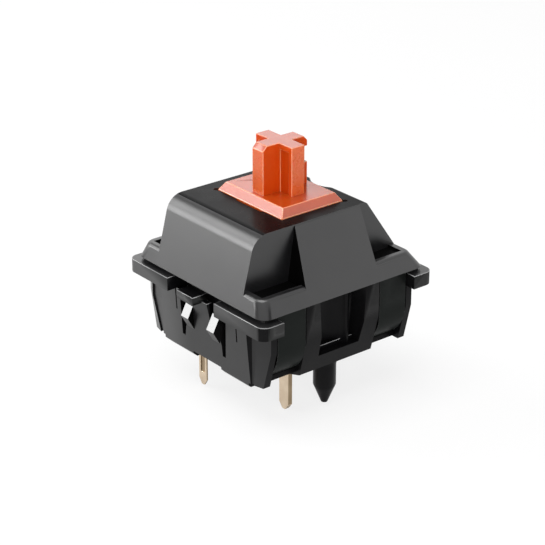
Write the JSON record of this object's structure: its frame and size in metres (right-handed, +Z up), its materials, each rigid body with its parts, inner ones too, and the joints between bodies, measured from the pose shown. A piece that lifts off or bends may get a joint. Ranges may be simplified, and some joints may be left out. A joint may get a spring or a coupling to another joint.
{
  "type": "mechanical keyboard switch",
  "caption": "Keyboard switch with a two-part housing, a cross-topped plunger on a coil spring, a leaf contact and fixing pegs for a circuit board.",
  "frame": {"origin": "middle of the body on the board surface, where the centre post leaves the underside", "axes": "+Z up along the plunger's travel, +Y towards the contact pins, -Y towards the lamp opening"},
  "size_m": [0.0156, 0.0156, 0.0188],
  "materials": {
    "housing_plastic": "fine moulded satin",
    "stem_plastic": "smooth moulded, slightly translucent",
    "spring_steel": "bright drawn wire",
    "contact_brass": "pale stamped strip",
    "leaf_bronze": "rolled strip",
    "crosspoint_gold": "bright drawn wire"
  },
  "bodies": {
    "housing": {"lower_housing": "housing_plastic", "upper_housing": "housing_plastic", "fixed_contact": "contact_brass", "fixed_crosspoint": "crosspoint_gold", "leaf_terminal": "contact_brass", "return_spring": "spring_steel"},
    "plunger": {"stem": "stem_plastic"},
    "leaf": {"contact_leaf": "leaf_bronze", "moving_crosspoint": "crosspoint_gold"}
  },
  "joints": [
    {"name": "stem_slide", "type": "slide", "parent": "housing", "child": "plunger", "axis": [0, 0, -1], "range_m": [0, 0.004], "stiffness_N_per_m": 75, "springref_m": -0.004, "deforming": ["return_spring"]},
    {"name": "leaf_flex", "type": "hinge", "parent": "housing", "child": "leaf", "pos_m": [0, 0.00508, 0.0015], "axis": [1, 0, 0], "range_deg": [0, 3.7]}
  ],
  "couplings": [
    {"joint": "leaf_flex", "follows": "stem_slide", "rad_per_m": 16}
  ]
}
